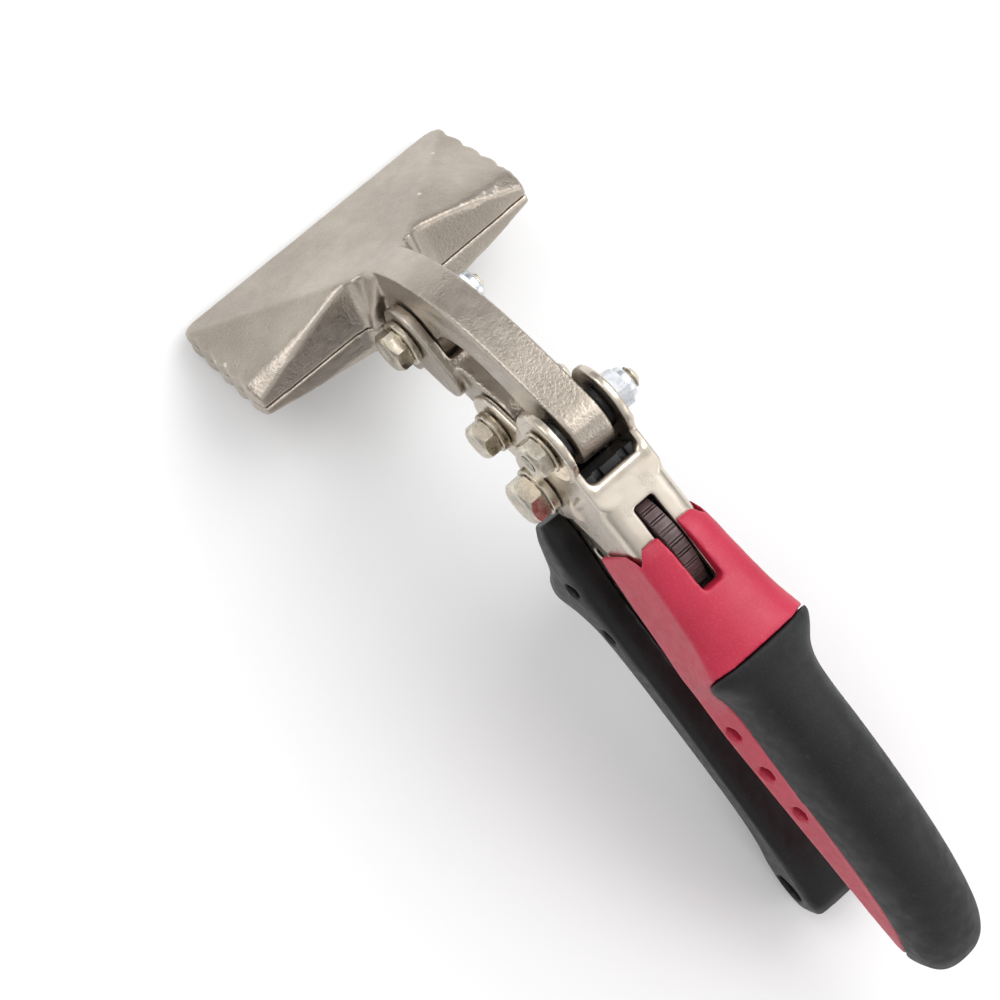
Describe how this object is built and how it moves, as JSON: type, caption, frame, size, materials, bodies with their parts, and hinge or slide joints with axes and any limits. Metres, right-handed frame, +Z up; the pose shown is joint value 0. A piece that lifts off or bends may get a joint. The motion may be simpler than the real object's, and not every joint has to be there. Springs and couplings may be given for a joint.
{
  "type": "offset hand seamer",
  "caption": "Offset hand seamer for bending sheet metal: wide forged jaws on a compound lever linkage, two spring-opened handles with soft grips, a thumb wheel latch.",
  "frame": {"origin": "centre of the box in plan, at the height of the surface the tool stands on: the lower jaw's front edge and the heel of the lower handle both touch it", "axes": "+X towards the mouth, +Y towards the bolt heads, +Z up"},
  "size_m": [0.215, 0.0782, 0.0841],
  "materials": {
    "forged_nickel": "forged steel with a satin nickel plate, fine pebbled skin",
    "stamped_nickel": "stamped steel sheet with a satin nickel plate",
    "nickel_bolts": "nickel plated hexagon bolts and washers",
    "zinc_nuts": "bright zinc plate",
    "black_steel": "black oxide, lightly oiled",
    "red_shell": "moulded red plastic with a fine matt grain",
    "soft_grip": "soft black overmould, matt",
    "black_shell": "moulded black plastic",
    "thumb_wheel": "moulded dark brown plastic with moulded ridges"
  },
  "bodies": {
    "upper_handle": {"upper_bracket": "stamped_nickel", "upper_grip_shell": "red_shell", "upper_grip_pad": "soft_grip", "handle_bolt": "nickel_bolts", "handle_washer": "nickel_bolts", "handle_nut": "zinc_nuts", "arm_bolt": "nickel_bolts", "arm_washer": "nickel_bolts", "arm_nut": "zinc_nuts", "arm_spacer_left": "black_steel", "arm_spacer_right": "black_steel", "spring_bush": "black_steel", "return_spring": "black_steel", "wheel_pin": "black_steel", "wheel_spacer_left": "black_steel", "wheel_spacer_right": "black_steel", "latch_cradle": "black_shell"},
    "lower_handle": {"lower_bracket": "stamped_nickel", "lower_grip_shell": "black_shell", "lower_grip_pad": "soft_grip", "lower_grip_pin_front": "black_steel", "lower_grip_pin_rear": "black_steel", "latch_striker": "black_steel", "link_bolt": "nickel_bolts", "link_washer": "nickel_bolts", "link_nut": "zinc_nuts"},
    "upper_jaw_body": {"upper_jaw": "forged_nickel", "jaw_bolt": "nickel_bolts", "jaw_washer": "nickel_bolts", "jaw_nut": "zinc_nuts"},
    "lower_jaw_body": {"lower_jaw": "forged_nickel"},
    "thumb_latch": {"thumb_wheel": "thumb_wheel", "latch_hook": "black_steel"}
  },
  "joints": [
    {"name": "handle_hinge", "type": "hinge", "parent": "upper_handle", "child": "lower_handle", "pos_m": [0.03216, 0, 0.05498], "axis": [0, -1, 0], "range_deg": [0, 20]},
    {"name": "upper_jaw_hinge", "type": "hinge", "parent": "upper_handle", "child": "upper_jaw_body", "pos_m": [0.03929, 0, 0.07537], "axis": [0, -1, 0], "range_deg": [-3.4, 0]},
    {"name": "lower_jaw_hinge", "type": "hinge", "parent": "upper_jaw_body", "child": "lower_jaw_body", "pos_m": [0.074, 0, 0.03748], "axis": [0, -1, 0], "range_deg": [-14.2, 0]},
    {"name": "thumb_latch_hinge", "type": "hinge", "parent": "upper_handle", "child": "thumb_latch", "pos_m": [0.009, 0, 0.06394], "axis": [0, -1, 0], "range_deg": [0, 22]}
  ],
  "couplings": [
    {"joint": "upper_jaw_hinge", "follows": "handle_hinge", "ratio": -0.159},
    {"joint": "lower_jaw_hinge", "follows": "handle_hinge", "ratio": -0.6953}
  ]
}
